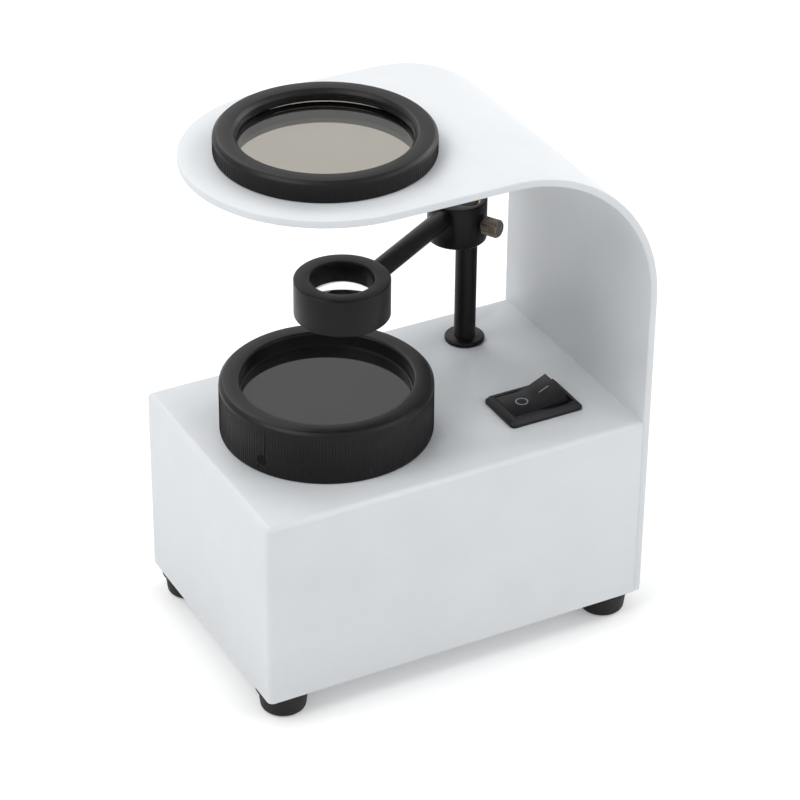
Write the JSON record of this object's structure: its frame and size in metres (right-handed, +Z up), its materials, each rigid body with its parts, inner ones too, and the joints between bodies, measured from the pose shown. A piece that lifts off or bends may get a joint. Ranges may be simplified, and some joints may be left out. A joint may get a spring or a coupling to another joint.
{
  "type": "desktop polariscope",
  "caption": "Desktop polariscope: lit stage in a box base, turning polariser stage and analyser on an arch, swing-in conoscope lens on a post, rocker switch.",
  "frame": {"origin": "on the table under the middle of the overall length and width", "axes": "+Z up, +X along the box towards the leg of the arch, -Y towards the side with the switch"},
  "size_m": [0.1094, 0.071, 0.143],
  "materials": {
    "white_powder_coat": "fine matt powder coat",
    "zinc_plate": "zinc plated sheet",
    "black_rubber": "moulded matt rubber",
    "zinc_steel": "zinc plated",
    "black_anodised": "satin black anodised",
    "polarising_film": "neutral grey-brown polarising film between clear sheets",
    "opal_plastic": "opal white",
    "clear_glass": "polished",
    "lamp_cup_white": "white moulded plastic",
    "circuit_board": "white solder mask",
    "lamp_chips": "phosphor coated",
    "brass": "drawn",
    "thumbscrew_steel": "straight knurled, slightly bronzed",
    "switch_bezel_black": "fine spark texture",
    "switch_rocker_black": "semi-gloss moulded",
    "tray_plastic": "moulded black plastic",
    "battery_cans": "plain printed sleeve",
    "nickel_steel": "nickel plated spring steel",
    "red_insulation": "soft PVC",
    "black_insulation": "soft PVC"
  },
  "bodies": {
    "base": {"base_housing": "white_powder_coat", "arch_bracket": "white_powder_coat", "bottom_plate": "zinc_plate", "rubber_feet": "black_rubber", "foot_screws": "zinc_steel", "stage_hub": "black_anodised", "stage_lock_ring": "black_anodised", "polariser_disc": "polarising_film", "diffuser_disc": "opal_plastic", "lamp_cup": "lamp_cup_white", "lamp_board": "circuit_board", "lamp_leds": "lamp_chips", "lamp_screws": "zinc_steel", "conoscope_post": "black_anodised", "post_washer": "zinc_steel", "post_nut": "zinc_steel", "switch_body": "switch_bezel_black", "switch_terminals": "brass", "battery_tray": "tray_plastic", "battery_cells": "battery_cans", "battery_contacts": "nickel_steel", "lead_battery_switch": "red_insulation", "lead_switch_lamp": "red_insulation", "lead_battery_lamp": "black_insulation"},
    "stage": {"stage_ring": "black_anodised", "stage_glass": "clear_glass", "stage_grub_screw": "zinc_steel"},
    "analyser": {"analyser_ring": "black_anodised", "analyser_disc": "polarising_film", "analyser_retainer": "black_anodised", "analyser_lock_ring": "black_anodised"},
    "slider": {"collar_bush": "brass"},
    "arm": {"arm_collar": "black_anodised", "arm_rod": "black_anodised", "lens_ring": "black_anodised", "conoscope_lens": "clear_glass", "lens_retainer": "black_anodised"},
    "screw": {"thumbscrew_shank": "thumbscrew_steel"},
    "knob": {"thumbscrew_knob": "thumbscrew_steel"},
    "rocker": {"switch_rocker": "switch_rocker_black"}
  },
  "joints": [
    {"name": "stage_turn", "type": "hinge", "parent": "base", "child": "stage", "pos_m": [-0.01925, 0, 0.066], "axis": [0, 0, 1], "continuous": true},
    {"name": "analyser_turn", "type": "hinge", "parent": "base", "child": "analyser", "pos_m": [-0.01925, 0, 0.1375], "axis": [0, 0, 1], "continuous": true},
    {"name": "arm_lift", "type": "slide", "parent": "base", "child": "slider", "axis": [0, 0, 1], "range_m": [-0.0195, 0.0035]},
    {"name": "arm_swing", "type": "hinge", "parent": "slider", "child": "arm", "pos_m": [0.03265, 0.0219, 0.0952], "axis": [0, 0, 1], "range_deg": [-120, 60]},
    {"name": "thumbscrew_feed", "type": "slide", "parent": "arm", "child": "screw", "axis": [0.515, -0.8572, 0], "range_m": [0, 0.00075]},
    {"name": "thumbscrew_turn", "type": "hinge", "parent": "screw", "child": "knob", "pos_m": [0.03574, 0.01676, 0.095], "axis": [0.515, -0.8572, 0], "range_deg": [0, 540]},
    {"name": "switch_rock", "type": "hinge", "parent": "base", "child": "rocker", "pos_m": [0.03205, -0.0156, 0.0579], "axis": [0, 1, 0], "range_deg": [0, 24]}
  ],
  "couplings": [
    {"joint": "thumbscrew_turn", "follows": "thumbscrew_feed", "rad_per_m": 12566}
  ]
}
